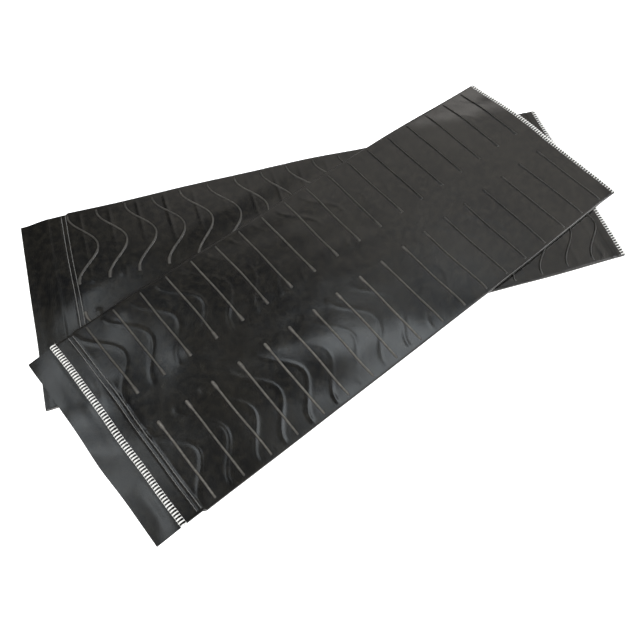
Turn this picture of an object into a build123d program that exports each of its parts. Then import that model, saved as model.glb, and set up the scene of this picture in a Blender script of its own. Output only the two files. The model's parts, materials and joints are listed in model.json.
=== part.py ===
from build123d import *
import math
import os

# A pair of identical black rubber mats, the upper one lying across the lower one.
# Each mat is a flat two-ply sleeve: a straight-ribbed sheet and a wavy-ribbed sheet, bonded
# along both long edges, overlocked together at the far end and joined near the other end by a
# twin-needle seam. Past that seam the straight-ribbed sheet ends in a short overlocked lip,
# and the wavy-ribbed sheet runs on under it as a plain closing flap.
#
# Each mat is drawn in its own frame: X runs from the flap's free edge to the far end, Y across,
# Z up with the straight-ribbed face on top. The wavy ribs stand on Z = 0.
# The row's frame: +X along the lower mat, away from its flap, +Z up, and the origin on the
# surface the pair lies on, under the centre of the pair's outline. Millimetres.

# One mat
mat_width = 250.0
sheet_length = 687.0
sheet_thickness = 1.8
edge_round = 1.2
bond_width = 6.0
pocket_gap = 0.3
slit_end_x = 56.8

# Ribs: rows across the mat, each row in two halves with a plain strip between them
row_count = 18
first_row_x = 70.8
row_pitch = 34.5
rib_height = 1.2
rib_width = 2.0
rib_draft = 6.0
rib_sunk = 0.2
rib_outer_y = 121.0
rib_inner_y = 17.9
knob_width = 3.6
knob_length = 10.0
wave_amplitude = 14.5
wave_crest_y = 68.75
wave_half_length = 48.75
wave_outer_y = 122.0
wave_ease = 0.3642  # handle length that makes a cubic curve follow a cosine

# Lip, flap and fold
lip_x = 28.6
lip_squeeze = 0.6
fold_x = 26.9
fold_gap = 0.3
fold_clearance = 0.5

# Threads
thread = 0.5
overlock_width = 6.7
overlock_pitch = 3.6
overlock_bar = 1.6
overlock_count = 69
seam_lines_x = {"outer": 49.0, "inner": 54.0}
seam_thread = 0.4
seam_pitch = 3.0
seam_count = 81

# How the upper mat lies on the lower one, from the middle of the lower mat's flap edge
upper_x = 35.8
upper_y = -179.6
upper_turn = 22.15
stack_gap = 0.3

# Levels in a mat's own frame
wavy_face_z = rib_height
middle_z = wavy_face_z + sheet_thickness
straight_face_z = middle_z + sheet_thickness
mat_height = straight_face_z + rib_height
fold_axis_z = (middle_z + straight_face_z + thread + fold_clearance) / 2
pocket_start_x = slit_end_x
pocket_end_x = sheet_length - overlock_width - 2 * thread
rows_x = [first_row_x + row_pitch * k for k in range(row_count)]


def block(x0, x1, y0, y1, z0, z1):
    """A box from one corner to the other."""
    centre = Pos((x0 + x1) / 2, (y0 + y1) / 2, (z0 + z1) / 2)
    return centre * Box(x1 - x0, y1 - y0, z1 - z0)


def one_shape(pieces):
    """All the pieces joined in one step."""
    return pieces[0].fuse(*pieces[1:])


def plate(x0, x1, z0, outer_side):
    """A sheet's flat ply from x0 to x1. Its long edges are rounded on the outer side."""
    ply = block(x0, x1, -mat_width / 2, mat_width / 2, z0, z0 + sheet_thickness)
    long_edges = ply.edges().filter_by(Axis.X).group_by(Axis.Z)[outer_side]
    return fillet(long_edges, edge_round)


def pocket(z0):
    """Half of the thin space between the two plies, where they aren't bonded."""
    half_width = mat_width / 2 - bond_width
    return block(pocket_start_x, pocket_end_x, -half_width, half_width, z0, z0 + pocket_gap / 2)


def rib_from(outline):
    """A moulded rib with drafted sides, standing up from Z = 0 and sunk a little to join."""
    return Pos(0, 0, -rib_sunk) * extrude(outline, rib_height + rib_sunk, taper=rib_draft)


def straight_rib(side):
    """One half of a straight row at X = 0, with a thicker inner end. side is 1 or -1."""
    length = rib_outer_y - rib_inner_y
    bar = Pos(0, side * (rib_inner_y + length / 2)) * SlotOverall(length, rib_width, rotation=90)
    knob_y = side * (rib_inner_y + knob_length / 2)
    knob = Pos(0, knob_y) * SlotOverall(knob_length, knob_width, rotation=90)
    return rib_from(bar + knob)


def wavy_rib(side):
    """One half of a wavy row about X = 0: half a wave out to its crest, half a wave back, a tail."""
    inner_y = wave_crest_y - wave_half_length
    outer_y = wave_crest_y + wave_half_length
    ease = wave_ease * wave_half_length
    a = wave_amplitude
    rise = Bezier(
        (-a, side * inner_y),
        (-a, side * (inner_y + ease)),
        (a, side * (wave_crest_y - ease)),
        (a, side * wave_crest_y),
    )
    fall = Bezier(
        (a, side * wave_crest_y),
        (a, side * (wave_crest_y + ease)),
        (-a, side * (outer_y - ease)),
        (-a, side * outer_y),
    )
    tail = Line((-a, side * outer_y), (-a, side * wave_outer_y))
    bar = trace(Wire([rise.edge(), fall.edge(), tail.edge()]), rib_width)
    knob_y = side * (inner_y + knob_length / 2 - knob_width / 2)
    knob = Pos(-a, knob_y) * SlotOverall(knob_length, knob_width, rotation=90)
    return rib_from(bar + knob)


def straight_sheet():
    """The straight-ribbed ply, from its lip's edge to the far end."""
    ply = plate(lip_x, sheet_length, middle_z, -1)
    band_end = lip_x + overlock_width + 2 * thread
    squeezed = block(lip_x, band_end, -mat_width, mat_width, middle_z, middle_z + lip_squeeze)
    ply = ply - pocket(middle_z) - squeezed
    ribs = [
        Pos(x, 0, straight_face_z) * straight_rib(side) for x in rows_x for side in (1, -1)
    ]
    return ply.fuse(*ribs)


def wavy_sheet(start_x):
    """The wavy-ribbed ply from start_x to the far end, ribs down."""
    ply = plate(start_x, sheet_length, wavy_face_z, 0)
    ply = ply - pocket(middle_z - pocket_gap / 2)
    turned_down = Rot(180, 0, 0)
    ribs = [
        Pos(x, 0, wavy_face_z) * turned_down * wavy_rib(side) for x in rows_x for side in (1, -1)
    ]
    return ply.fuse(*ribs)


def flap():
    """The part of the wavy-ribbed ply beyond the fold line, plain on both faces."""
    return plate(0, fold_x - fold_gap, wavy_face_z, 0)


def stitch_places(count, pitch):
    """Places across the mat, evenly spaced about its middle."""
    return [(k - (count - 1) / 2) * pitch for k in range(count)]


def overlock(edge_x, inward, top_z, bottom_z):
    """The three threads of an overlocked edge: upper looper, lower looper and needle thread.
    inward is the sign of the way from the edge into the sheet."""
    places = stitch_places(overlock_count, overlock_pitch)
    half_run = places[-1] + overlock_bar / 2
    half_bar = overlock_bar / 2
    inner_x = edge_x + inward * (overlock_width - thread / 2)
    outside = sorted((edge_x - inward * thread, edge_x))
    across = sorted((edge_x - inward * thread, inner_x))
    edge_middle_z = (top_z + bottom_z) / 2

    def looper(face_z, away_z):
        """Bars over one face, joined by a strand round the edge down to its middle."""
        z0, z1 = sorted((face_z, away_z))
        bars = [block(*across, y - half_bar, y + half_bar, z0, z1) for y in places]
        z0, z1 = sorted((edge_middle_z, away_z))
        strand = block(*outside, -half_run, half_run, z0, z1)
        return one_shape([strand, *bars])

    upper = looper(top_z, top_z + thread)
    lower = looper(bottom_z, bottom_z - thread)
    line = sorted((inner_x, inner_x + inward * thread))
    strands = [
        block(*line, -half_run, half_run, top_z, top_z + thread),
        block(*line, -half_run, half_run, bottom_z - thread, bottom_z),
    ]
    legs = [block(*line, y - thread / 2, y + thread / 2, bottom_z, top_z) for y in places]
    return upper, lower, one_shape(strands + legs)


def seam(line_x):
    """A lockstitched line's needle thread and bobbin thread, which meet between the plies."""
    places = stitch_places(seam_count, seam_pitch)
    half = seam_thread / 2
    half_run = places[-1] + half

    def thread_from(face_z, away_z):
        """A strand along one face, with a leg down each needle hole to the middle."""
        z0, z1 = sorted((face_z, away_z))
        strand = block(line_x - half, line_x + half, -half_run, half_run, z0, z1)
        z0, z1 = sorted((face_z, middle_z))
        legs = [
            block(line_x - half, line_x + half, y - half, y + half, z0, z1) for y in places
        ]
        return one_shape([strand, *legs])

    needle = thread_from(straight_face_z, straight_face_z + seam_thread)
    bobbin = thread_from(wavy_face_z, wavy_face_z - seam_thread)
    return needle, bobbin


def one_mat(flap_is_apart):
    """Every piece of one mat, by name, in the mat's own frame."""
    pieces = {"straight_sheet": straight_sheet()}
    if flap_is_apart:
        pieces["wavy_sheet"] = wavy_sheet(fold_x + fold_gap)
        pieces["flap"] = flap()
    else:
        pieces["wavy_sheet"] = wavy_sheet(0)
    edges = {
        "lip": overlock(lip_x, 1, straight_face_z, middle_z + lip_squeeze),
        "end": overlock(sheet_length, -1, straight_face_z, wavy_face_z),
    }
    for place, (upper, lower, needle) in edges.items():
        pieces[place + "_upper_looper"] = upper
        pieces[place + "_lower_looper"] = lower
        pieces[place + "_needle_thread"] = needle
    for line, line_x in seam_lines_x.items():
        needle, bobbin = seam(line_x)
        pieces[line + "_seam_needle_thread"] = needle
        pieces[line + "_seam_bobbin_thread"] = bobbin
    return pieces


def outline_corners(x, y, turn):
    """A mat's four corners in plan, with its flap edge's middle at (x, y)."""
    c, s = math.cos(math.radians(turn)), math.sin(math.radians(turn))
    corners = []
    for along in (0, sheet_length + thread):
        for across in (-mat_width / 2, mat_width / 2):
            corners.append((x + along * c - across * s, y + along * s + across * c))
    return corners


def pair_centre():
    """The centre of the pair's outline, from the middle of the lower mat's flap edge."""
    corners = outline_corners(0, 0, 0) + outline_corners(upper_x, upper_y, upper_turn)
    xs = [corner[0] for corner in corners]
    ys = [corner[1] for corner in corners]
    return (min(xs) + max(xs)) / 2, (min(ys) + max(ys)) / 2


centre_x, centre_y = pair_centre()
lower_place = Pos(-centre_x, -centre_y, mat_height) * Rot(180, 0, 0)
upper_place = Pos(upper_x - centre_x, upper_y - centre_y, mat_height + stack_gap) * Rot(0, 0, upper_turn)

os.makedirs("parts", exist_ok=True)
for mat_name, place, flap_is_apart in (("lower", lower_place, False), ("upper", upper_place, True)):
    for piece_name, piece in one_mat(flap_is_apart).items():
        export_step(place * piece, "parts/" + mat_name + "_" + piece_name + ".step")

print("pair centre from the lower flap edge", round(centre_x, 3), round(centre_y, 3))
fold_point = (upper_place * Pos(fold_x, 0, fold_axis_z)).position
print("fold axis through", fold_point)
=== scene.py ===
import json
import math

import bpy
import numpy as np
from mathutils import Matrix, Vector


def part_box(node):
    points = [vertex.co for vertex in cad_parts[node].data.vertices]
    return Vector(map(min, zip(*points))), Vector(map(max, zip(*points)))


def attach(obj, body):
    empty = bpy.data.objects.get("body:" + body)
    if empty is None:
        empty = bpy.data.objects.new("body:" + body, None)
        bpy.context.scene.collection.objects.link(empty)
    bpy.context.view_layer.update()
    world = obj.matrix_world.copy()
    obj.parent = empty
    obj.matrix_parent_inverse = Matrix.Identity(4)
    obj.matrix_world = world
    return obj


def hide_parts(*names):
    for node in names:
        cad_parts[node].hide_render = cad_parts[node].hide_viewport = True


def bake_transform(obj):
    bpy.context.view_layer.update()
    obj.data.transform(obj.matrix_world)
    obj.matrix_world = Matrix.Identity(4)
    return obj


# The looks of a pair of black rubber mats, the upper one lying across the lower one.
# Each mat is two plies of rubber, straight-ribbed and wavy-ribbed, sewn into a flat sleeve.
# Shapes are worked out flat, as u along a mat from its flap's free edge, v across it from its
# centre line and z above its underside, then laid down at the mat's place. Metres.

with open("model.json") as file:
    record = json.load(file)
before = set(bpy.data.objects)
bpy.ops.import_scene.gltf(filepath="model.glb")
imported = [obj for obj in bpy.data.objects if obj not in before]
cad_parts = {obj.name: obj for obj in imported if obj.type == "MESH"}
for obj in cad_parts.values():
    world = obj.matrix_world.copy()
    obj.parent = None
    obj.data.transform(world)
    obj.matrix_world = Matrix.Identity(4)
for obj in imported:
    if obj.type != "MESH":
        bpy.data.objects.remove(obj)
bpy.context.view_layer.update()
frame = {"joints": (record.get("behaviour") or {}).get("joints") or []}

MM = 0.001
TURN = 2 * math.pi

# One mat, as the CAD has it
MAT_LENGTH = 687 * MM
HALF_WIDTH = 125 * MM
PLY = 1.8 * MM
RIB_HEIGHT = 1.2 * MM
EDGE_ROUND = 1.2 * MM
LIP_U = 28.6 * MM
SLIT_END_U = 56.8 * MM
FOLD_U = 26.9 * MM
FOLD_ZONE = 8.4 * MM
SEAMS_U = {"outer": 49.0 * MM, "inner": 54.0 * MM}
SEAM_HALF_RUN = 120 * MM
SEAM_PITCH = 3.0 * MM
BAND_WIDTH = 6.7 * MM
STITCH_PITCH = 3.6 * MM
STITCH_COUNT = 69
END_U = MAT_LENGTH - 2.4 * MM
LIP_SQUEEZE = 0.6 * MM
# How far the overlock's loops stand out past the rubber's edge
LIP_PAST = 0.5 * MM
END_PAST = 2.6 * MM

# Ribs
ROW_COUNT = 18
FIRST_ROW_U = 70.8 * MM
ROW_PITCH = 34.5 * MM
RIB_INNER_V = 17.9 * MM
RIB_OUTER_V = 121 * MM
RIB_HALF_WIDTH = 1.0 * MM
KNOB_HALF_WIDTH = 1.55 * MM
KNOB_LENGTH = 10 * MM
WAVE_AMPLITUDE = 14.5 * MM
WAVE_CREST_V = 68.75 * MM
WAVE_HALF_LENGTH = 48.75 * MM

# Levels above the underside of a mat lying flat
UNDER_FACE = RIB_HEIGHT
MIDDLE = UNDER_FACE + PLY
OVER_FACE = MIDDLE + PLY

# How the hidden face's ribs show through a ply
PRINT_HEIGHT = 0.5 * MM
PRINT_WIDTH = 1.9 * MM

# How finely the rubber and the threads are meshed
STEP_U = 1.55 * MM
STEP_V = 2.2 * MM
THREAD_SIDES = 6
SHARP_ANGLE = math.radians(50)

# Threads: half-widths and half-heights of their sections
LOOPER_SECTION = (0.36 * MM, 0.4 * MM)
DASH_SECTION = (0.17 * MM, 0.22 * MM)
EDGE_STRAND_SECTION = (0.17 * MM, 0.17 * MM)
SEAM_SECTION = (0.3 * MM, 0.4 * MM)
UPRIGHT = (0, 0, 1)

# Seeds for the small differences between ribs and between stitches
RIB_SEEDS = {"wavy": 11, "straight": 12}
OVERLOCK_SEED = 31
SEAM_SEED = 41

# Lights
SHEEN_DISTANCE = 1.5
COOL = (0.88, 0.95, 1.0)
WARM = (1.0, 0.96, 0.93)


def smooth(t):
    """0 below 0, 1 above 1, and an easy change between."""
    t = np.clip(t, 0, 1)
    return t * t * (3 - 2 * t)


def bump(distance, width):
    """1 at no distance, falling off smoothly beyond the width."""
    return np.exp(-((distance / width) ** 2))


def ripple(seed, shortest, longest):
    """A smooth random surface of about unit height, the same each time for one seed."""
    count = 11
    draw = np.random.default_rng(seed)
    lengths = draw.uniform(shortest, longest, count)
    headings = draw.uniform(0, TURN, count)
    phases = draw.uniform(0, TURN, count)

    def height(u, v):
        total = 0
        for length, heading, phase in zip(lengths, headings, phases):
            along = u * math.cos(heading) + v * math.sin(heading)
            total = total + np.sin(TURN * along / length + phase)
        return total / math.sqrt(count)

    return height


# ---------------------------------------------------------------- the pattern on a mat


def wave_u(v):
    """How far a wavy rib stands from its row's middle, at v across the mat."""
    across = np.clip(np.abs(v) - WAVE_CREST_V, -WAVE_HALF_LENGTH, WAVE_HALF_LENGTH)
    return WAVE_AMPLITUDE * np.cos(math.pi * across / WAVE_HALF_LENGTH)


def rib_shift(pattern, v):
    """How far a rib of either pattern stands from its row's middle, at v across the mat."""
    return wave_u(v) if pattern == "wavy" else 0 * v


def print_through(pattern, u, v):
    """Where the ribs on the hidden face show through, from 0 to 1."""
    span = ROW_PITCH * ROW_COUNT
    along = u - FIRST_ROW_U - rib_shift(pattern, v) + ROW_PITCH / 2
    inside = (along > 0) & (along < span)
    off = np.mod(along, ROW_PITCH) - ROW_PITCH / 2
    slope = (rib_shift(pattern, v + MM) - rib_shift(pattern, v - MM)) / (2 * MM)
    off = off / np.sqrt(1 + slope**2)
    knob = 1 + 0.6 * (np.abs(v) < RIB_INNER_V + KNOB_LENGTH)
    run = smooth((np.abs(v) - RIB_INNER_V + 2 * MM) / (4 * MM))
    run = run * smooth((RIB_OUTER_V - np.abs(v)) / (5 * MM))
    return inside * run * bump(off, PRINT_WIDTH * knob)


def seam_relief(u, v):
    """The twin seam draws the rubber down along each line and puckers it beside them."""
    run = smooth((SEAM_HALF_RUN + MM - np.abs(v)) / (3 * MM))
    relief = 0
    for line_u in SEAMS_U.values():
        relief = relief - 0.5 * MM * bump(u - line_u, 0.9 * MM)
    middle = sum(SEAMS_U.values()) / len(SEAMS_U)
    relief = relief + 0.1 * MM * bump(np.abs(u - middle) - 4.9 * MM, 1.9 * MM)
    return run * relief


# ---------------------------------------------------------------- the two mats as they lie


class Mat:
    """Where one mat lies, which ply is uppermost, and how the rubber gives."""

    def __init__(self, name, origin, heading, over, seed):
        self.name = name
        self.origin = origin
        self.heading = heading
        self.over = over
        self.under = "wavy" if over == "straight" else "straight"
        self.body = name + "_mat"
        self.wander_u = ripple(seed, 60 * MM, 220 * MM)
        self.wander_v = ripple(seed + 1, 110 * MM, 300 * MM)
        self.swell = ripple(seed + 2, 80 * MM, 190 * MM)
        self.dents = ripple(seed + 3, 26 * MM, 60 * MM)
        self.fade = ripple(seed + 4, 60 * MM, 150 * MM)
        self.flap_wave = ripple(seed + 5, 50 * MM, 110 * MM)

    def plan(self, u, v):
        """The place on the floor of (u, v), with the small wander of cut and sewn rubber."""
        along = u + 0.65 * MM * self.wander_u(u, v)
        across = v + 0.55 * MM * self.wander_v(u, v) + self.bow(u, v)
        c, s = math.cos(self.heading), math.sin(self.heading)
        x = self.origin[0] + along * c - across * s
        y = self.origin[1] + along * s + across * c
        return x, y

    def lay(self, u, v, z):
        """Points at height z above the floor."""
        x, y = self.plan(u, v)
        return np.stack([x, y, z + 0 * x], -1)

    def face(self, side, u, v):
        """Height above the floor of the mat's top (side 1) or underside (side -1).
        The underside takes only what draws it in, because the floor is in the way of the rest."""
        level = OVER_FACE if side > 0 else UNDER_FACE
        hidden = self.under if side > 0 else self.over
        relief = self.relief(hidden, u, v)
        return self.rest(u, v) + level + (relief if side > 0 else -np.minimum(relief, 0))

    def middle(self, u, v):
        """Height above the floor of the face where the two plies meet."""
        return self.rest(u, v) + MIDDLE

    def relief(self, hidden, u, v):
        """What the seam and the hidden face's ribs do to a face, outward from it."""
        shows = self.show(u, v) * print_through(hidden, u, v)
        sleeve = smooth((u - 45 * MM) / (4 * MM))
        return sleeve * seam_relief(u, v) + PRINT_HEIGHT * shows


class LowerMat(Mat):
    """The lower mat lies on the floor, turned over, with its wavy face up."""

    flap_drop = 3.0 * MM
    # How strongly this mat's rib tops are painted paler, for rubbing and as a painted highlight.
    rubbed_and_highlit = 0.7

    def bow(self, u, v):
        """The far long edge bows out a little."""
        return 2.6 * MM * smooth(v / HALF_WIDTH) * bump(u - 300 * MM, 150 * MM)

    def rest(self, u, v):
        """How high the mat's underside level is: it gives a little, and rises where it is bare."""
        give = 0.22 * MM * (1.2 + self.swell(u, v)) + 0.05 * MM * self.dents(u, v)
        lip_edge = 0.5 * MM * bump(u - LIP_U - 3 * MM, 2.5 * MM)
        drop = self.flap_drop * smooth((LIP_U - u) / (26 * MM))
        give = np.maximum(give, 0) + 1.7 * MM * smooth(self.clear_of_load(u, v) / (36 * MM))
        return give * smooth(u / (60 * MM)) + lip_edge - drop

    def clear_of_load(self, u, v):
        """How far a point is from the upper mat's far long edge, on the side left bare."""
        x, y = self.plan(u, v)
        c, s = math.cos(upper.heading), math.sin(upper.heading)
        across = (y - upper.origin[1]) * c - (x - upper.origin[0]) * s
        return across - HALF_WIDTH - 4 * MM

    def show(self, u, v):
        """How strongly the hidden ribs show, from place to place."""
        return 0.45 + 0.3 * self.fade(u, v)

    def relief(self, hidden, u, v):
        """A straight crease runs along the far end, just inside the overlock."""
        crease = 0.45 * MM * (bump(u - 669 * MM, 1.8 * MM) - bump(u - 673 * MM, 1.8 * MM))
        return super().relief(hidden, u, v) + crease


class UpperMat(Mat):
    """The upper mat lies over the lower one and sags to the floor where it hangs past it."""

    stack = 6.3 * MM
    # How strongly this mat's rib tops are painted paler, for rubbing and as a painted highlight.
    rubbed_and_highlit = 1.0
    # Places where the sleeve stands up a little: u, v, radius and height, in millimetres
    swells = (
        (112, 108, 24, 1.8),
        (140, 22, 22, 1.8),
        (70, 50, 20, 0.8),
        (196, 40, 26, 0.6),
        (262, -62, 30, 0.7),
    )
    sag_reach = 70 * MM
    # The lower mat's flap lies too low to hold this one up
    lower_flap = 26 * MM
    flap_drop = 1.1 * MM

    def bow(self, u, v):
        """The near long edge bows out a little."""
        return -2.6 * MM * smooth(-v / HALF_WIDTH) * bump(u - 450 * MM, 130 * MM)

    def beyond(self, u, v):
        """How far outside the lower mat's outline a point is."""
        x, y = self.plan(u, v)
        past_side = np.maximum(np.abs(y - lower.origin[1]) - HALF_WIDTH, 0)
        along = x - lower.origin[0]
        past_end = np.maximum(np.maximum(self.lower_flap - along, along - MAT_LENGTH), 0)
        return np.hypot(past_side, past_end)

    def rest(self, u, v):
        """How high the mat's underside level is: on the lower mat, or sagging past it."""
        held_up = self.stack * (1 - smooth(self.beyond(u, v) / self.sag_reach))
        soft = 0.18 + 0.3 * (1 - smooth((u - 120 * MM) / (260 * MM)))
        give = soft * MM * (1.2 + self.swell(u, v)) + 0.11 * MM * self.dents(u, v)
        for u0, v0, radius, height in self.swells:
            give = give + height * MM * bump(np.hypot(u - u0 * MM, v - v0 * MM), radius * MM)
        sewn_flat = 1 - smooth((u - 32 * MM) / (26 * MM))
        return held_up + np.maximum(give, 0) * (1 - sewn_flat)

    def flap_rest(self, u, v):
        """The flap is a single ply, so it dips a little, unevenly, away from the lip."""
        out = np.clip((FOLD_U - u) / FOLD_U, 0, 1)
        wave = 0.45 * MM * (1 + self.flap_wave(0.4 * u, v)) * smooth(2 * out)
        drop = self.flap_drop * out + np.maximum(wave, 0)
        return np.maximum(self.rest(u, v) - drop, 0.05 * MM - UNDER_FACE)

    def show(self, u, v):
        """The hidden ribs show most near the flap."""
        near = smooth((360 * MM - u + 0.9 * np.maximum(-v, 0)) / (330 * MM))
        return np.clip(0.12 + 0.72 * near + 0.32 * self.fade(u, v), 0, 1.2)


def lower_place():
    """The lower mat's flap edge middle, from its wavy ply."""
    low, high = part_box("lower_wavy_sheet")
    return np.array([low.x, (low.y + high.y) / 2])


def upper_place():
    """The upper mat's flap edge middle and heading, from the fold's hinge."""
    fold = next(j for j in frame["joints"] if j["name"] == "upper_flap_fold")
    across_x, across_y, _ = fold["axis"]
    along = np.array([across_y, -across_x])
    return np.array(fold["pos_m"][:2]) - FOLD_U * along, math.atan2(along[1], along[0])


# ---------------------------------------------------------------- mesh work


class Shell:
    """Points and faces gathered for one piece, with the flat place of each point and how much
    paler it is painted, partly for rubbing and dust, partly as a painted highlight.
    """

    def __init__(self):
        self.points, self.flat, self.wear, self.faces = [], [], [], []
        self.count = 0

    def add(self, points, flat, wear, faces):
        """Add points, with their attributes, and faces that count from the first of them."""
        points = np.asarray(points, float).reshape(-1, 3)
        self.points.append(points)
        self.flat.append(np.broadcast_to(flat, points.shape).reshape(-1, 3))
        self.wear.append(np.broadcast_to(wear, len(points)))
        self.faces += [tuple(int(i) + self.count for i in face) for face in faces]
        self.count += len(points)

    def piece(self, name, material):
        """The gathered points and faces as one object, with its two attributes."""
        mesh = bpy.data.meshes.new(name)
        mesh.from_pydata(np.concatenate(self.points).tolist(), [], self.faces)
        flat = mesh.attributes.new("flat_place", "FLOAT_VECTOR", "POINT")
        flat.data.foreach_set("vector", np.concatenate(self.flat).astype(np.float32).ravel())
        # Per point paling: partly rubbing and dust, partly painted highlight.
        wear = mesh.attributes.new("wear", "FLOAT", "POINT")
        wear.data.foreach_set("value", np.concatenate(self.wear).astype(np.float32))
        mesh.polygons.foreach_set("use_smooth", [True] * len(mesh.polygons))
        mesh.set_sharp_from_angle(angle=SHARP_ANGLE)
        mesh.materials.append(material)
        made = bpy.data.objects.new(name, mesh)
        bpy.context.scene.collection.objects.link(made)
        return made


def rounded_places(start, end, step, radius):
    """An odd number of places from start to end, and how far each is down the rounded edge."""
    turns = np.radians([90, 67, 45, 22])
    flat_count = 2 * int((end - start) / step / 2) + 1
    flat = np.linspace(start + radius, end - radius, flat_count)
    before = start + radius - radius * np.sin(turns)
    after = (end - radius + radius * np.sin(turns))[::-1]
    down = radius * (1 - np.cos(turns))
    places = np.concatenate([before, flat, after])
    return places, np.concatenate([down, 0 * flat, down[::-1]])


def grid_faces(rows, columns, first=0):
    """Quads over a grid of points, numbered from first."""
    at = first + np.arange(rows * columns).reshape(rows, columns)
    return np.stack([at[:-1, :-1], at[1:, :-1], at[1:, 1:], at[:-1, 1:]], -1).reshape(-1, 4)


def ring_of(rows, columns, first=0):
    """The border of a grid, once round."""
    at = first + np.arange(rows * columns).reshape(rows, columns)
    return np.concatenate([at[:-1, 0], at[-1, :-1], at[:0:-1, -1], at[0, :0:-1]])


def side_inset(u):
    """The lip and flap are a little narrower than the sleeve, with a step at the slit's end."""
    return 1 - 0.017 * smooth((SLIT_END_U - u) / (1.2 * MM))


def ply_shell(mat, side, start, end, outer, inner):
    """One ply of rubber: a fine outer face with rounded edges, a plainer inner face, a rim."""
    us, down_u = rounded_places(start, end, STEP_U, 0.5 * MM)
    vs, down_v = rounded_places(-HALF_WIDTH, HALF_WIDTH, STEP_V, EDGE_ROUND)
    u, v = np.meshgrid(us, vs, indexing="ij")
    v = v * side_inset(u)
    down = np.maximum(down_u[:, None], down_v[None, :])
    outside = mat.lay(u, v, outer(u, v) - side * down)
    u2, v2 = u[::2, ::2], v[::2, ::2]
    inside = mat.lay(u2, v2, inner(u2, v2))
    rim = smooth((np.abs(v) - HALF_WIDTH + 2.5 * MM) / (2.5 * MM))

    faces = [tuple(f) for f in grid_faces(*u.shape)]
    faces += [tuple(f[::-1]) for f in grid_faces(*u2.shape, first=u.size)]
    big, small = ring_of(*u.shape), ring_of(*u2.shape, first=u.size)
    for k in range(len(small)):
        a, b, c = big[2 * k], big[2 * k + 1], big[(2 * k + 2) % len(big)]
        faces.append((c, b, a, small[k], small[(k + 1) % len(small)]))
    if side < 0:
        faces = [f[::-1] for f in faces]

    shell = Shell()
    points = np.concatenate([outside.reshape(-1, 3), inside.reshape(-1, 3)])
    flat = np.concatenate(
        [
            np.stack([u, v, 0 * u + side * PLY], -1).reshape(-1, 3),
            np.stack([u2, v2, 0 * u2], -1).reshape(-1, 3),
        ]
    )
    shell.add(points, flat, np.concatenate([0.03 * rim.ravel(), np.zeros(u2.size)]), faces)
    return shell


def tube_faces(count, around, flip=False):
    """Faces of a closed tube of count rings, with its ends capped."""
    at = np.arange(count * around).reshape(count, around)
    turned = np.roll(at, -1, axis=1)
    faces = np.stack([at[:-1], turned[:-1], turned[1:], at[1:]], -1).reshape(-1, 4)
    faces = [tuple(f) for f in faces] + [tuple(at[0][::-1]), tuple(at[-1])]
    return [f[::-1] for f in faces] if flip else faces


# A rib's section: places across in half-widths, heights in rib heights, and paling, part rubbing
# and dust, part painted highlight on the crest
RIB_SECTION = (
    (-2.0, -0.22, 0.0),
    (-1.3, 0.06, 0.1),
    (-0.98, 0.4, 0.35),
    (-0.8, 0.78, 0.8),
    (-0.42, 1.0, 1.0),
    (0.42, 1.0, 1.0),
    (0.8, 0.78, 0.8),
    (0.98, 0.4, 0.35),
    (1.3, 0.06, 0.1),
    (2.0, -0.22, 0.0),
)


def rib_line(pattern, half):
    """Places along half a row, from its thick inner end outward: distance, u and v."""
    length = RIB_OUTER_V - RIB_INNER_V
    ends = np.array([0.0, 0.25, 0.7, 1.4]) * MM
    body = np.linspace(2.2 * MM, length - 2.2 * MM, 46)
    distance = np.concatenate([ends, body, (length - ends)[::-1]])
    v = half * (RIB_INNER_V + distance)
    return distance, rib_shift(pattern, v), v


def rib_swell(distance):
    """A rib's half-width and its height's share, along it."""
    length = distance[-1]
    knob = 1 - smooth((distance - KNOB_LENGTH + 2 * MM) / (4 * MM))
    half = RIB_HALF_WIDTH + (KNOB_HALF_WIDTH - RIB_HALF_WIDTH) * knob
    nose = np.clip(distance / (1.6 * MM), 0, 1)
    tail = np.clip((length - distance) / (1.4 * MM), 0, 1)
    round_off = np.sqrt(1 - (1 - nose) ** 2) * np.sqrt(1 - (1 - tail) ** 2)
    taper = 0.55 + 0.45 * smooth((length - distance) / (9 * MM))
    return half * np.maximum(round_off, 0.12), taper * (0.35 + 0.65 * round_off)


def rib_wear_and_highlight(mat, u, v):
    """How much paler the ribs are painted, part rubbing and dust, part painted highlight: palest
    on the upper mat, near the flap, on the side towards -v.
    """
    along = 0.12 + 0.88 * (1 - smooth((u - 260 * MM) / (260 * MM)))
    return along * mat.rubbed_and_highlit * (1 - 0.35 * smooth((v + 30 * MM) / (60 * MM)))


def add_ribs(shell, mat, side, pattern):
    """Every rib on one face of a mat, swept along its line and following the rubber."""
    draw = np.random.default_rng(RIB_SEEDS[pattern])
    across, height, wear = (np.array(c) for c in zip(*RIB_SECTION))
    for row in range(ROW_COUNT):
        for half in (1, -1):
            distance, shift, v = rib_line(pattern, half)
            u = FIRST_ROW_U + ROW_PITCH * row + shift
            width, rise = rib_swell(distance)
            du, dv = np.gradient(u), np.gradient(v)
            length = np.hypot(du, dv)
            side_u, side_v = -dv / length, du / length
            uu = u[:, None] + side_u[:, None] * width[:, None] * across
            vv = v[:, None] + side_v[:, None] * width[:, None] * across
            tall = RIB_HEIGHT * rise[:, None] * np.maximum(height, 0)
            sunk = 0.26 * MM * np.minimum(height, 0) / 0.22
            z = mat.face(side, uu, vv) + side * (tall + sunk)
            flat = np.stack([uu, vv, 0 * uu + side * 2 * PLY], -1)
            # How much paler this rib is painted: partly rubbing, partly a painted highlight.
            worn_and_highlit = draw.uniform(0.75, 1.0) * smooth(rise) * rib_wear_and_highlight(mat, u, v)
            rubbed_and_highlit = wear * worn_and_highlit[:, None]
            faces = tube_faces(len(u), len(across), flip=side > 0)
            shell.add(mat.lay(uu, vv, z), flat.reshape(-1, 3), rubbed_and_highlit.ravel(), faces)


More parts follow.
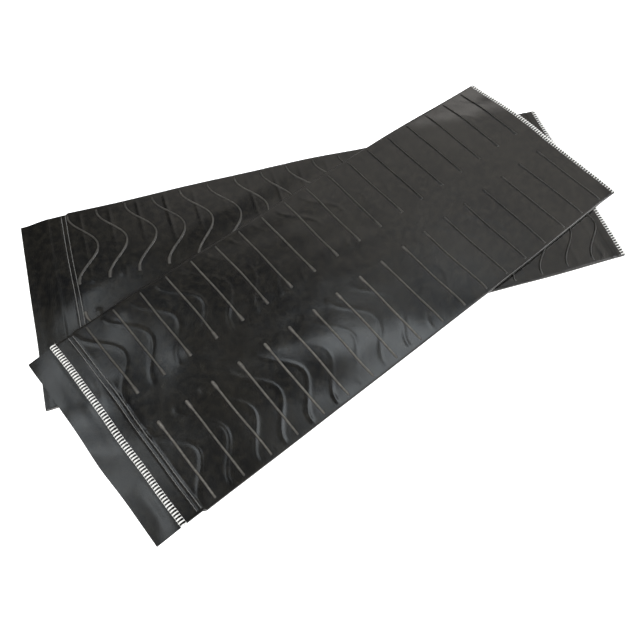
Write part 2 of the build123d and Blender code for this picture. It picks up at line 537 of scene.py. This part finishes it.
def add_tube(shell, path, sideways, section):
    """A thread along a path: an oval section, its half-width along sideways."""
    ahead = np.gradient(path, axis=0)
    ahead /= np.linalg.norm(ahead, axis=1, keepdims=True)
    sideways = np.broadcast_to(sideways, path.shape)
    outward = np.cross(ahead, sideways)
    outward /= np.linalg.norm(outward, axis=1, keepdims=True)
    wide, high = section
    turn = TURN * np.arange(THREAD_SIDES) / THREAD_SIDES
    ring = (
        path[:, None]
        + sideways[:, None] * (wide * np.cos(turn))[:, None]
        + outward[:, None] * (high * np.sin(turn))[:, None]
    )
    shell.add(ring, (0, 0, 0), 0.0, tube_faces(len(path), THREAD_SIDES))


# ---------------------------------------------------------------- the rubber plies


def wavy_ply(mat, side):
    """The wavy-ribbed ply, which runs on past the lip as the flap."""
    flap_rest = getattr(mat, "flap_rest", mat.rest)
    level = OVER_FACE if side > 0 else UNDER_FACE

    def flap_share(u):
        return smooth((LIP_U + 4 * MM - u) / (4 * MM))

    def outer(u, v):
        flap = flap_share(u)
        plain = flap_rest(u, v) + level
        return plain * flap + mat.face(side, u, v) * (1 - flap)

    def inner(u, v):
        flap = flap_share(u)
        return flap_rest(u, v) * flap + mat.rest(u, v) * (1 - flap) + MIDDLE

    shell = ply_shell(mat, side, 0, END_U, outer, inner)
    add_ribs(shell, mat, side, "wavy")
    return shell


def straight_ply(mat, side):
    """The straight-ribbed ply, which ends in the lip."""

    def outer(u, v):
        return mat.face(side, u, v) + lip_lift(mat, side, u, v)

    def inner(u, v):
        squeezed = LIP_SQUEEZE * smooth((LIP_U + BAND_WIDTH + 1.5 * MM - u) / (1.5 * MM))
        return mat.middle(u, v) + side * squeezed + lip_lift(mat, side, u, v)

    shell = ply_shell(mat, side, LIP_U, END_U, outer, inner)
    add_ribs(shell, mat, side, "straight")
    return shell


def lip_lift(mat, side, u, v):
    """The upper mat's lip bulges a little in one place, between the seam and the overlock."""
    if side < 0:
        return 0 * u
    return 0.5 * MM * bump(u - 42 * MM, 4.5 * MM) * bump(v - 46 * MM, 15 * MM)


# ---------------------------------------------------------------- threads


def looper_bar(mat, edge_u, inward, reach, past, side, top, bottom, v0, draw):
    """One bar of looper thread: from its needle hole over one face and round the edge.
    Its three strands lie side by side. reach is how far in it starts, past how far out it goes."""
    lean, puff = draw.uniform(-0.3, 0.3) * MM, draw.uniform(0.9, 1.12)
    start, stop = reach + draw.uniform(-0.3, 0.2) * MM, past + draw.uniform(-0.25, 0.25) * MM
    t = np.linspace(0, 1, 10)
    u = edge_u + inward * (start - (start + stop) * t)
    on_rubber = edge_u + inward * np.maximum(inward * (u - edge_u), 0)
    over = top(on_rubber, v0) if side > 0 else bottom(on_rubber, v0)
    arch = 0.46 * MM * puff * np.sin(math.pi * (0.04 + 0.9 * t)) ** 0.4
    wrap = smooth((t - 0.72) / 0.28)
    edge_middle = (top(edge_u, v0) + bottom(edge_u, v0)) / 2
    z = (over + side * arch) * (1 - wrap) + (edge_middle + side * 0.25 * MM) * wrap
    spread = 0.5 * MM * np.sin(math.pi * (0.08 + 0.74 * t)) ** 0.8
    for strand in (-1, 0, 1):
        phase = TURN * (1.5 * t + strand / 3)
        v = v0 + lean * (t - 0.5) + strand * spread + 0.1 * MM * np.sin(phase)
        yield mat.lay(u, v, z + 0.08 * MM * np.cos(phase))


def overlocked_edge(mat, edge_u, inward, past, top, bottom):
    """The three threads of an overlocked edge: bars over and under it, and a line of dashes.
    inward is the sign of the way from the edge into the rubber."""
    draw = np.random.default_rng(OVERLOCK_SEED)
    shells = {"upper_looper": Shell(), "lower_looper": Shell(), "needle_thread": Shell()}
    reach = BAND_WIDTH - past - 0.2 * MM
    sideways = np.array([-math.sin(mat.heading), math.cos(mat.heading), 0])
    for k in range(STITCH_COUNT):
        v0 = (k - (STITCH_COUNT - 1) / 2) * STITCH_PITCH
        for name, side in (("upper_looper", 1), ("lower_looper", -1)):
            for path in looper_bar(
                mat, edge_u, inward, reach, past, side, top, bottom, v0, draw
            ):
                add_tube(shells[name], path, sideways, LOOPER_SECTION)
        for side, surface in ((1, top), (-1, bottom)):
            t = np.linspace(0, 1, 6)
            v = v0 + (t - 0.5) * STITCH_PITCH
            u = edge_u + inward * (reach + 0.2 * MM) + 0 * v
            z = surface(u, v) + side * 0.34 * MM * (np.sin(math.pi * t) - 0.85)
            add_tube(shells["needle_thread"], mat.lay(u, v, z), UPRIGHT, DASH_SECTION)
    run = np.linspace(-1, 1, 6 * STITCH_COUNT) * (STITCH_COUNT * STITCH_PITCH / 2 - MM)
    for name, off in (("upper_looper", -0.15), ("lower_looper", -0.5)):
        phase = TURN * run / STITCH_PITCH + off * math.pi
        u = edge_u - inward * (0.2 + 0.08 * np.sin(phase)) * MM
        z = (top(edge_u, run) + bottom(edge_u, run)) / 2 + (off + 0.15 * np.cos(phase)) * MM
        add_tube(shells[name], mat.lay(u, run, z), UPRIGHT, EDGE_STRAND_SECTION)
    return shells


def seam_stitches(mat, side, line_u):
    """One face of a lockstitched line: a strand that dips into each needle hole."""
    draw = np.random.default_rng(SEAM_SEED + side)
    holes = int(2 * SEAM_HALF_RUN / SEAM_PITCH)
    v = np.linspace(-SEAM_HALF_RUN, SEAM_HALF_RUN, 6 * holes + 1)
    t = (v + SEAM_HALF_RUN) / SEAM_PITCH
    arch = np.abs(np.sin(math.pi * t)) ** 0.5
    u = line_u + 0.1 * MM * np.sin(TURN * t / 2) + 0.05 * MM * draw.standard_normal(len(v))
    z = mat.face(side, u, v) + side * (0.6 * arch - 0.05) * MM
    shell = Shell()
    add_tube(shell, mat.lay(u, v, z), UPRIGHT, SEAM_SECTION)
    return shell


# ---------------------------------------------------------------- materials


def new_material(name):
    """A material with its node tree and its one shader."""
    material = bpy.data.materials.new(name)
    material.use_nodes = True
    tree = material.node_tree
    shader = tree.nodes["Principled BSDF"]
    return material, tree, shader


def node(tree, kind, **settings):
    """A new node with its settings."""
    made = tree.nodes.new(kind)
    for key, value in settings.items():
        setattr(made, key, value)
    return made


def noise(tree, place, scale, detail, roughness=0.55):
    """Cloudy noise, 0 to 1, with about scale features to the metre."""
    made = node(tree, "ShaderNodeTexNoise")
    made.inputs["Scale"].default_value = scale
    made.inputs["Detail"].default_value = detail
    made.inputs["Roughness"].default_value = roughness
    tree.links.new(place, made.inputs["Vector"])
    return made.outputs["Fac"]


def remap(tree, value, low, high, out_low, out_high):
    """A value moved from one range to another and kept inside it."""
    made = node(tree, "ShaderNodeMapRange")
    limits = {"From Min": low, "From Max": high, "To Min": out_low, "To Max": out_high}
    for key, number in limits.items():
        made.inputs[key].default_value = number
    tree.links.new(value, made.inputs["Value"])
    return made.outputs["Result"]


def mixed(tree, share, first, second):
    """A colour between two, each a colour or another node's output."""
    made = node(tree, "ShaderNodeMix", data_type="RGBA")
    for key, colour in ((6, first), (7, second)):
        if isinstance(colour, tuple):
            made.inputs[key].default_value = colour
        else:
            tree.links.new(colour, made.inputs[key])
    tree.links.new(share, made.inputs[0])
    return made.outputs[2]


def relief_of(tree, layers):
    """Bump nodes in a chain: each layer is its height, its strength and its depth."""
    normal = None
    for height, strength, depth in layers:
        made = node(tree, "ShaderNodeBump")
        made.inputs["Strength"].default_value = strength
        made.inputs["Distance"].default_value = depth
        tree.links.new(height, made.inputs["Height"])
        if normal is not None:
            tree.links.new(normal, made.inputs["Normal"])
        normal = made.outputs["Normal"]
    return normal


def rubber():
    """Satin black rubber: fine grain, faint brown smears, and rib tops painted paler, part dust
    and rubbing, part painted highlight.
    """
    material, tree, shader = new_material("black_rubber")
    place = node(tree, "ShaderNodeAttribute", attribute_name="flat_place").outputs["Vector"]
    wear = node(tree, "ShaderNodeAttribute", attribute_name="wear").outputs["Fac"]
    cloud = noise(tree, place, 9, 4)
    leather = noise(tree, place, 210, 2)
    grain = noise(tree, place, 1100, 3)
    scuff = noise(tree, place, 420, 3)
    smears = noise(tree, place, 130, 4, 0.6)
    black, dusty = (0.003, 0.003, 0.0032, 1), (0.009, 0.0084, 0.0072, 1)
    brown, pale = (0.018, 0.0163, 0.013, 1), (0.165, 0.155, 0.138, 1)
    base = mixed(tree, remap(tree, cloud, 0.38, 0.66, 0, 1), black, dusty)
    base = mixed(tree, remap(tree, smears, 0.42, 0.78, 0, 1), base, brown)
    rubbed_and_highlit = remap(tree, scuff, 0.3, 0.7, 0.35, 1.0)
    product = node(tree, "ShaderNodeMath", operation="MULTIPLY")
    tree.links.new(wear, product.inputs[0])
    tree.links.new(rubbed_and_highlit, product.inputs[1])
    # Rib tops are painted paler here: partly dust and rubbing, partly a painted highlight where
    # they catch the light.
    colour = mixed(tree, product.outputs[0], base, pale)
    tree.links.new(colour, shader.inputs["Base Color"])
    satin = remap(tree, cloud, 0.15, 0.85, 0.2, 0.25)
    dull = node(tree, "ShaderNodeMix", data_type="FLOAT")
    tree.links.new(remap(tree, wear, 0, 0.12, 0, 1), dull.inputs[0])
    tree.links.new(satin, dull.inputs[2])
    dull.inputs[3].default_value = 0.55
    tree.links.new(dull.outputs[0], shader.inputs["Roughness"])
    shader.inputs["Specular IOR Level"].default_value = 0.5
    layers = [(leather, 0.15, 0.0003), (grain, 0.12, 0.0001)]
    tree.links.new(relief_of(tree, layers), shader.inputs["Normal"])
    return material


def thread(name, light, dark, roughness):
    """Spun thread: fine twisted fibres, a little uneven in tone."""
    material, tree, shader = new_material(name)
    place = node(tree, "ShaderNodeTexCoord").outputs["Object"]
    fibres = noise(tree, place, 2600, 3, 0.6)
    tone = noise(tree, place, 320, 2)
    colour = mixed(tree, remap(tree, tone, 0.3, 0.7, 0, 1), dark, light)
    tree.links.new(colour, shader.inputs["Base Color"])
    shader.inputs["Roughness"].default_value = roughness
    shader.inputs["Sheen Weight"].default_value = 0.25
    tree.links.new(relief_of(tree, [(fibres, 0.5, 0.00012)]), shader.inputs["Normal"])
    return material


def floor_material():
    """A plain, very pale floor with a faint mottle."""
    material, tree, shader = new_material("pale_floor")
    place = node(tree, "ShaderNodeTexCoord").outputs["Object"]
    mottle = noise(tree, place, 3, 2)
    colour = mixed(tree, mottle, (0.88, 0.88, 0.88, 1), (0.9, 0.9, 0.9, 1))
    tree.links.new(colour, shader.inputs["Base Color"])
    shader.inputs["Roughness"].default_value = 0.9
    shader.inputs["Emission Color"].default_value = (1, 1, 1, 1)
    shader.inputs["Emission Strength"].default_value = 0.85
    return material


# ---------------------------------------------------------------- building the pieces


def build_plies(mat, black):
    """The two plies, standing for the CAD's plain sheets."""
    sides = {mat.over: 1, mat.under: -1}
    made = {}
    for pattern, builder in (("straight", straight_ply), ("wavy", wavy_ply)):
        ply = builder(mat, sides[pattern]).piece(f"{mat.name}_{pattern}_ply", black)
        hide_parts(f"{mat.name}_{pattern}_sheet")
        made[pattern] = ply
    return made


def build_overlocks(mat, white):
    """The overlocked lip and far end."""
    lip_side = 1 if mat.over == "straight" else -1

    def lip_out(u, v):
        return mat.face(lip_side, u, v) + lip_lift(mat, lip_side, u, v)

    def lip_in(u, v):
        return mat.middle(u, v) + lip_side * LIP_SQUEEZE + lip_lift(mat, lip_side, u, v)

    lip_faces = (lip_out, lip_in) if lip_side > 0 else (lip_in, lip_out)
    end_faces = (lambda u, v: mat.face(1, u, v), lambda u, v: mat.face(-1, u, v))
    edges = {"lip": (LIP_U, 1, LIP_PAST, lip_faces), "end": (END_U, -1, END_PAST, end_faces)}
    made = []
    for place, (edge_u, inward, past, (top, bottom)) in edges.items():
        shells = overlocked_edge(mat, edge_u, inward, past, top, bottom)
        for name, shell in shells.items():
            piece = shell.piece(f"{mat.name}_{place}_{name}_stitches", white)
            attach(piece, mat.body)
            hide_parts(f"{mat.name}_{place}_{name}")
            made.append(piece)
    return made


def build_seams(mat, dark):
    """The twin seam, with its needle thread on the straight face and bobbin thread below."""
    straight_side = 1 if mat.over == "straight" else -1
    made = []
    for line, line_u in SEAMS_U.items():
        for kind, side in (("needle", straight_side), ("bobbin", -straight_side)):
            shell = seam_stitches(mat, side, line_u)
            name = f"{mat.name}_{line}_seam_{kind}_thread"
            piece = shell.piece(name + "_stitches", dark)
            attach(piece, mat.body)
            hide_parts(name)
            made.append(piece)
    return made


def build_lower(black, white, dark):
    """The lower mat's pieces. Returns its plies."""
    plies = build_plies(lower, black)
    for ply in plies.values():
        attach(ply, lower.body)
    threads = build_overlocks(lower, white) + build_seams(lower, dark)
    return plies


def build_upper(black, white, dark):
    """The upper mat's pieces. The straight ply goes with the mat's body; the wavy ply, which runs
    on as the flap, is left as laid, with no bend at the fold.
    """
    plies = build_plies(upper, black)
    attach(plies["straight"], upper.body)
    flap = plies["wavy"]
    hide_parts("upper_flap")
    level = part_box("upper_flap")[0].z
    ends = [upper.lay(FOLD_U + half * FOLD_ZONE / 2, 0.0, level) for half in (1, -1)]
    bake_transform(flap)
    threads = build_overlocks(upper, white) + build_seams(upper, dark)


# ---------------------------------------------------------------- studio


def build_floor():
    """A plain pale floor, which is studio and not part of the object."""
    bpy.ops.mesh.primitive_plane_add(size=30, location=(0, 0, 0))
    floor = bpy.context.object
    floor.name = "studio_floor"
    floor.data.materials.append(floor_material())


def softbox(name, aim, away, distance, size, energy, colour):
    """An area light at a distance from aim, in the direction away, facing aim."""
    data = bpy.data.lights.new(name, "AREA")
    data.shape = "RECTANGLE"
    data.size, data.size_y = size
    data.energy, data.color = energy, colour
    light = bpy.data.objects.new(name, data)
    away = Vector(away).normalized()
    light.location = Vector(aim) + away * distance
    light.rotation_mode = "QUATERNION"
    light.rotation_quaternion = away.to_track_quat("Z", "Y")
    bpy.context.scene.collection.objects.link(light)


def from_bearing(bearing, elevation):
    """A direction, its bearing turned from +Y towards +X, in degrees."""
    b, e = math.radians(bearing), math.radians(elevation)
    return Vector((math.sin(b) * math.cos(e), math.cos(b) * math.cos(e), math.sin(e)))


def sheen(name, u, v, size, energy, colour):
    """A dim softbox that the upper mat, as it slopes at (u, v), shows to the camera."""
    us, vs = np.array([u, u + MM, u]), np.array([v, v, v + MM])
    spots = upper.lay(us, vs, upper.flap_rest(us, vs))
    aim, ahead, beside = (Vector(spot) for spot in spots)
    upward = (ahead - aim).cross(beside - aim).normalized()
    away = aim - bpy.context.scene.camera.location
    softbox(name, aim, away.reflect(upward), SHEEN_DISTANCE, size, energy, colour)


def build_lights():
    """A dim sky, three big softboxes round the pair, and the small sheens."""
    world = bpy.data.worlds.new("studio")
    bpy.context.scene.world = world
    world.use_nodes = True
    sky = world.node_tree.nodes["Background"]
    sky.inputs["Color"].default_value = (1.0, 1.0, 1.0, 1)
    sky.inputs["Strength"].default_value = 0.045
    middle = (0, 0, 0)
    softbox("key", middle, from_bearing(218, 44), 3.5, (1.3, 1.3), 105, (1.0, 0.985, 0.96))
    softbox("right_softbox", middle, from_bearing(90, 40), 2.5, (1.0, 1.0), 40, (1.0, 1.0, 1.0))
    softbox("far_softbox", middle, from_bearing(28, 40), 2.4, (2.6, 1.2), 8.0, (1.0, 0.96, 0.9))
    sheen("edge_sheen", 332 * MM, -112 * MM, (1.05, 0.27), 4.0, COOL)
    sheen("edge_end_sheen", 430 * MM, -98 * MM, (0.35, 0.2), 0.25, COOL)
    sheen("flap_sheen", 8 * MM, -38 * MM, (0.34, 0.24), 0.6, COOL)
    sheen("flap_middle_sheen", 8 * MM, 25 * MM, (0.25, 0.2), 0.6, COOL)
    sheen("flap_left_sheen", 8 * MM, 90 * MM, (0.25, 0.2), 0.7, COOL)
    sheen("left_sheen", 98 * MM, 98 * MM, (0.35, 0.2), 0.65, COOL)
    sheen("end_sheen", 660 * MM, 85 * MM, (0.35, 0.2), 0.5, WARM)
    bpy.context.scene.view_settings.view_transform = "Standard"


def build_camera():
    """The viewpoint: down at 60.5 degrees, from the near left, with a slight roll."""
    aim = Vector((-0.0492, -0.0533, 0.004))
    bearing, elevation, roll = math.radians(20.5), math.radians(60.53), 0.0557
    distance = 0.7867
    flat_share = math.cos(elevation)
    ahead = Vector(
        (math.sin(bearing) * flat_share, math.cos(bearing) * flat_share, -math.sin(elevation))
    )
    level = Vector((math.cos(bearing), -math.sin(bearing), 0))
    upright = level.cross(ahead)
    right = level * math.cos(roll) + upright * math.sin(roll)
    up = upright * math.cos(roll) - level * math.sin(roll)
    data = bpy.data.cameras.new("camera")
    data.sensor_width, data.lens = 36, 39.39
    camera = bpy.data.objects.new("camera", data)
    turn = Matrix((right, up, -ahead)).transposed().to_4x4()
    camera.matrix_world = Matrix.Translation(aim - ahead * distance) @ turn
    bpy.context.scene.collection.objects.link(camera)
    bpy.context.scene.camera = camera


lower = LowerMat("lower", lower_place(), 0.0, "wavy", 100)
upper_origin, upper_heading = upper_place()
upper = UpperMat("upper", upper_origin, upper_heading, "straight", 200)

black_rubber = rubber()
white_thread = thread("white_thread", (0.88, 0.88, 0.87, 1), (0.72, 0.72, 0.7, 1), 0.8)
black_thread = thread("black_thread", (0.15, 0.15, 0.145, 1), (0.07, 0.07, 0.067, 1), 0.6)

lower_plies = build_lower(black_rubber, white_thread, black_thread)
build_upper(black_rubber, white_thread, black_thread)
build_floor()
build_camera()
build_lights()
